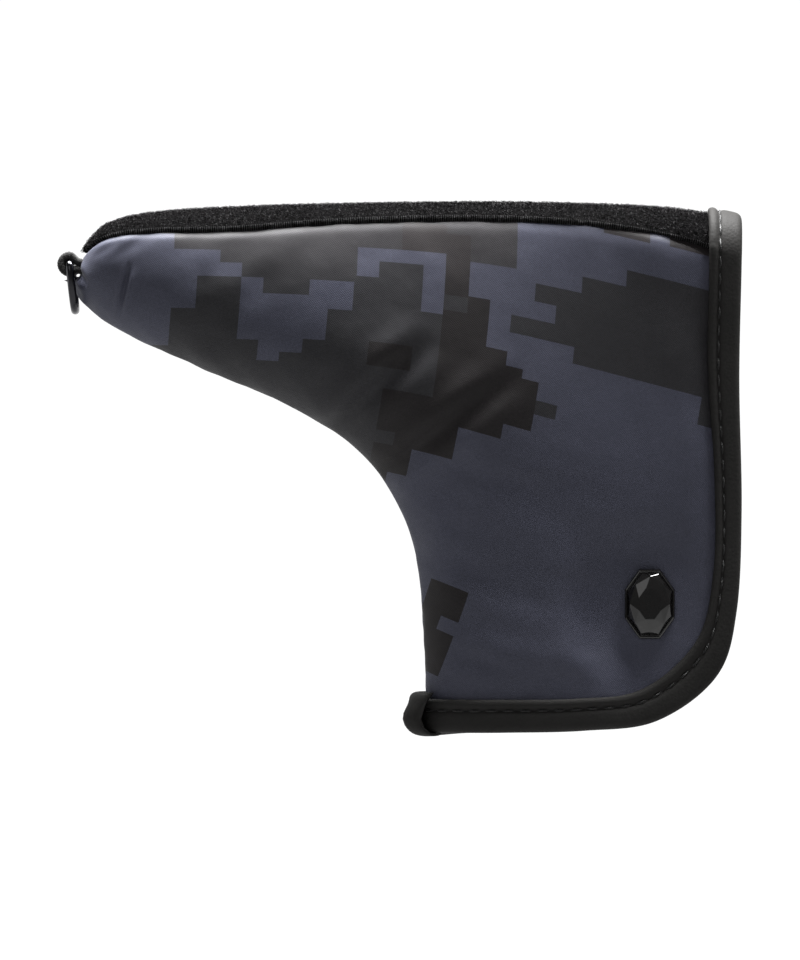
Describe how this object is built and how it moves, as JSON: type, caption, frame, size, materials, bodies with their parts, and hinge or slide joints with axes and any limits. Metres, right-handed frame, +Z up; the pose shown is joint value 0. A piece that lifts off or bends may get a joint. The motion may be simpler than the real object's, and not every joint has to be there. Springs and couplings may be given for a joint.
{
  "type": "putter head cover",
  "caption": "Padded L-shaped cover for a blade putter head, with a corner mouth that peels open, hidden magnets, a stud and a toe ring.",
  "frame": {"origin": "on the putter shaft's axis, level with the lower edge of the mouth", "axes": "+X from the toe to the heel, -Y to the front that carries the stud, +Z up to the sole; the shaft leaves along -Z"},
  "size_m": [0.1718, 0.0378, 0.1336],
  "materials": {
    "printed_twill": "coated twill with a digital block print",
    "foam": "open-cell foam sheet",
    "fleece": "brushed fleece",
    "pile_tape": "loop pile with woven selvages",
    "binding_leather": "matte coated leather, fine grain",
    "ribbon": "ribbed grosgrain",
    "black_nickel": "polished black nickel",
    "black_enamel": "gloss black",
    "steel_plate": "zinc plate"
  },
  "bodies": {
    "pouch": {"front_shell": "printed_twill", "front_padding": "foam", "front_lining": "fleece", "back_shell": "printed_twill", "back_padding": "foam", "back_lining": "fleece", "sole_tape": "pile_tape", "sole_lining": "fleece", "crown_binding": "binding_leather", "neck_binding": "binding_leather", "binding_lap": "binding_leather", "ring_tab": "ribbon"},
    "front_flap": {"front_flap_shell": "printed_twill", "front_flap_padding": "foam", "front_flap_lining": "fleece", "front_flap_binding": "binding_leather", "stud": "black_enamel", "stud_washer": "steel_plate", "front_magnet": "steel_plate"},
    "back_flap": {"back_flap_shell": "printed_twill", "back_flap_padding": "foam", "back_flap_lining": "fleece", "back_flap_binding": "binding_leather", "back_magnet": "steel_plate"},
    "ring": {"d_ring": "black_nickel"}
  },
  "joints": [
    {"name": "front_flap_fold", "type": "hinge", "parent": "pouch", "child": "front_flap", "pos_m": [-0.012, -0.0124, 0.002], "axis": [-0.547, 0, -0.8371], "range_deg": [0, 50], "stiffness_Nm_per_rad": 0.03, "springref_deg": -20.05},
    {"name": "back_flap_fold", "type": "hinge", "parent": "pouch", "child": "back_flap", "pos_m": [-0.012, 0.0124, 0.002], "axis": [0.547, 0, 0.8371], "range_deg": [0, 50], "stiffness_Nm_per_rad": 0.03, "springref_deg": -20.05},
    {"name": "ring_swing", "type": "hinge", "parent": "pouch", "child": "ring", "pos_m": [-0.1134, 0, 0.1179], "axis": [0, 1, 0], "range_deg": [0, 150]}
  ]
}
